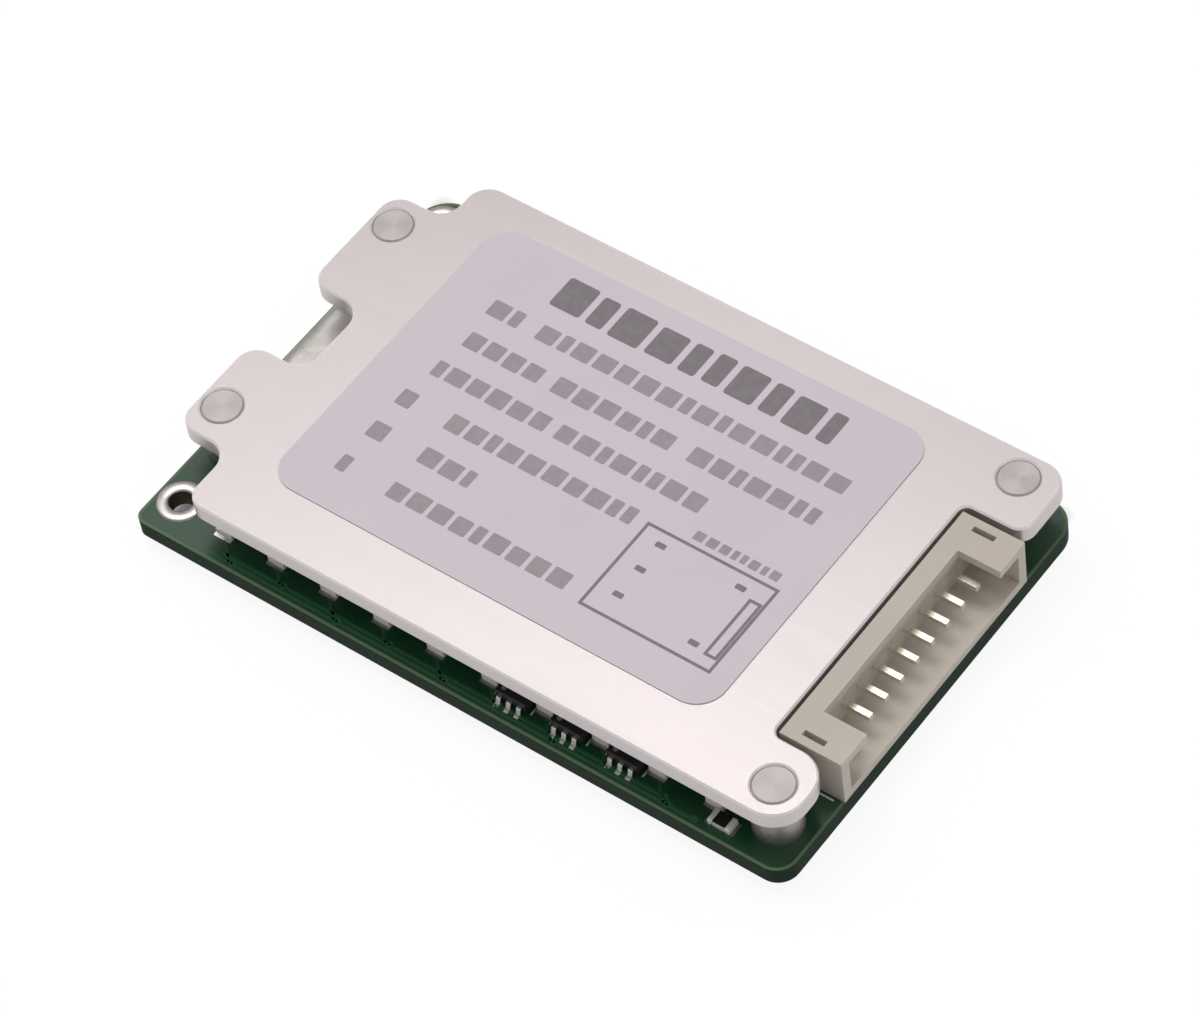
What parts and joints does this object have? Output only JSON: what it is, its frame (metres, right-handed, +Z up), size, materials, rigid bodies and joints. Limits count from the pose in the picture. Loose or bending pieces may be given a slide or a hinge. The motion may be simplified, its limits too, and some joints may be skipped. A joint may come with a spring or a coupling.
{
  "type": "battery management board",
  "caption": "Circuit board under an aluminium heat spreader plate with flush posts, a side-entry balance socket at one end and plated wire terminals at the other.",
  "frame": {"origin": "middle of the board's outline, on the plane of the four screw heads that the part rests on", "axes": "+X along the board towards the balance socket, +Z up from the board to the plate"},
  "size_m": [0.062, 0.0392, 0.008],
  "materials": {
    "board_laminate": "glossy green solder mask over glass laminate",
    "plate_aluminium": "satin, fine blasted surface with broken edges",
    "label_paper": "semi-gloss printed sticker",
    "post_metal": "turned, end face flush in the plate",
    "screw_steel": "zinc plated",
    "socket_nylon": "natural nylon, slightly milky",
    "pin_tin": "tin plated brass wire",
    "solder_tin": "tinned copper and solder",
    "lead_tin": "tin plated copper leads and terminations",
    "pad_silicone": "soft grey-blue silicone sheet",
    "capacitor_ceramic": "tan fired ceramic",
    "resistor_ceramic": "dark glass coat on ceramic",
    "chip_epoxy": "black moulded epoxy"
  },
  "bodies": {
    "root": {"balance_socket_housing": "socket_nylon", "balance_socket_pins": "pin_tin", "balance_transistor_leads": "lead_tin", "balance_transistors": "chip_epoxy", "bleed_resistor_ends": "lead_tin", "bleed_resistors": "resistor_ceramic", "charge_transistor_1": "chip_epoxy", "charge_transistor_1_frame": "lead_tin", "charge_transistor_2": "chip_epoxy", "charge_transistor_2_frame": "lead_tin", "charge_transistor_3": "chip_epoxy", "charge_transistor_3_frame": "lead_tin", "circuit_board": "board_laminate", "discharge_transistor_1": "chip_epoxy", "discharge_transistor_1_frame": "lead_tin", "discharge_transistor_2": "chip_epoxy", "discharge_transistor_2_frame": "lead_tin", "discharge_transistor_3": "chip_epoxy", "discharge_transistor_3_frame": "lead_tin", "edge_chip_leads": "lead_tin", "edge_chips": "chip_epoxy", "edge_resistor": "resistor_ceramic", "edge_resistor_ends": "lead_tin", "far_left_post": "post_metal", "far_left_screw": "screw_steel", "far_right_post": "post_metal", "far_right_screw": "screw_steel", "far_wire_hole_rings": "solder_tin", "filter_capacitor_ends": "lead_tin", "filter_capacitors": "capacitor_ceramic", "filter_resistor_ends": "lead_tin", "filter_resistors": "resistor_ceramic", "heat_spreader_plate": "plate_aluminium", "lower_monitor_chip": "chip_epoxy", "lower_monitor_chip_leads": "lead_tin", "middle_wire_pads": "solder_tin", "near_left_post": "post_metal", "near_left_screw": "screw_steel", "near_right_post": "post_metal", "near_right_screw": "screw_steel", "near_wire_hole_rings": "solder_tin", "pin_solder_joints": "solder_tin", "shunt_resistor_ends": "lead_tin", "shunt_resistors": "resistor_ceramic", "spec_label": "label_paper", "surge_diode": "chip_epoxy", "surge_diode_leads": "lead_tin", "thermal_pad": "pad_silicone", "thermistor": "resistor_ceramic", "thermistor_ends": "lead_tin", "upper_monitor_chip": "chip_epoxy", "upper_monitor_chip_leads": "lead_tin"}
  },
  "joints": []
}
